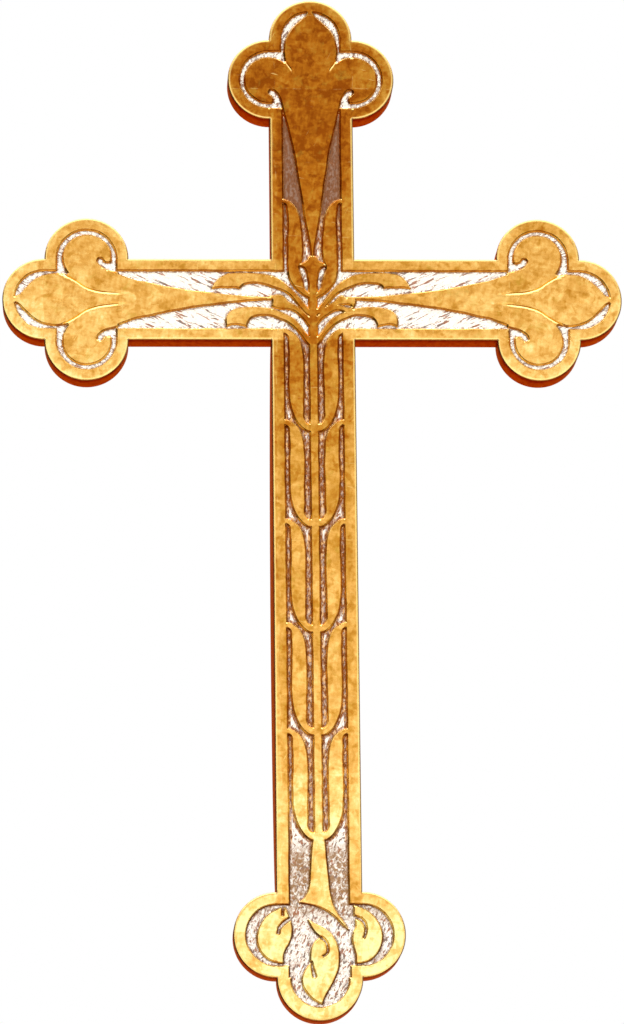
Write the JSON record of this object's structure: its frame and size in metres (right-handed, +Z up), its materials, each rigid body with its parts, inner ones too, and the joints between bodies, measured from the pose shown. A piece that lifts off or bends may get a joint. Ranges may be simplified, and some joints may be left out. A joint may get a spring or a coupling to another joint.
{
  "type": "carved gilded wall cross",
  "caption": "Tall wall-hung altar cross with trefoil ends, carved in low relief with a climbing leaf stem; gold leaf on raised parts, silver leaf on the ground; D-ring hanger behind.",
  "frame": {"origin": "on the wall plane, where the wall hook holds the hanger ring when it is raised; on the cross's middle line, 270 mm above the centre of the crossing", "axes": "+Z up, +X to the right of someone who looks at the carved face, -Y out of the carved face into the room"},
  "size_m": [0.6582, 0.0383, 1.0997],
  "materials": {
    "gilded_wood": "carved wood, gold leaf on raised parts and edges, silver leaf in the sunk ground, bare wood on the back",
    "beech": "plain turned dowel",
    "zinc_steel": "bright zinc-plated steel",
    "rubber": "matt black rubber"
  },
  "bodies": {
    "cross": {"crossbar_board": "gilded_wood", "foot_left_lobe": "gilded_wood", "foot_left_lobe_dowel_1": "beech", "foot_left_lobe_dowel_2": "beech", "foot_right_lobe": "gilded_wood", "foot_right_lobe_dowel_1": "beech", "foot_right_lobe_dowel_2": "beech", "foot_wall_pad": "rubber", "hanger_plate": "zinc_steel", "hanger_screw_lower": "zinc_steel", "hanger_screw_upper": "zinc_steel", "head_left_lobe": "gilded_wood", "head_left_lobe_dowel_1": "beech", "head_left_lobe_dowel_2": "beech", "head_right_lobe": "gilded_wood", "head_right_lobe_dowel_1": "beech", "head_right_lobe_dowel_2": "beech", "lap_screw_1": "zinc_steel", "lap_screw_2": "zinc_steel", "lap_screw_3": "zinc_steel", "lap_screw_4": "zinc_steel", "left_arm_lower_lobe": "gilded_wood", "left_arm_lower_lobe_dowel_1": "beech", "left_arm_lower_lobe_dowel_2": "beech", "left_arm_upper_lobe": "gilded_wood", "left_arm_upper_lobe_dowel_1": "beech", "left_arm_upper_lobe_dowel_2": "beech", "left_wall_pad": "rubber", "right_arm_lower_lobe": "gilded_wood", "right_arm_lower_lobe_dowel_1": "beech", "right_arm_lower_lobe_dowel_2": "beech", "right_arm_upper_lobe": "gilded_wood", "right_arm_upper_lobe_dowel_1": "beech", "right_arm_upper_lobe_dowel_2": "beech", "right_wall_pad": "rubber", "upright_board": "gilded_wood"},
    "ring": {"hanger_ring": "zinc_steel"}
  },
  "joints": [
    {"name": "ring_hinge", "type": "hinge", "parent": "cross", "child": "ring", "pos_m": [0, -0.0044, -0.02], "axis": [1, 0, 0], "range_deg": [0, 180]}
  ]
}
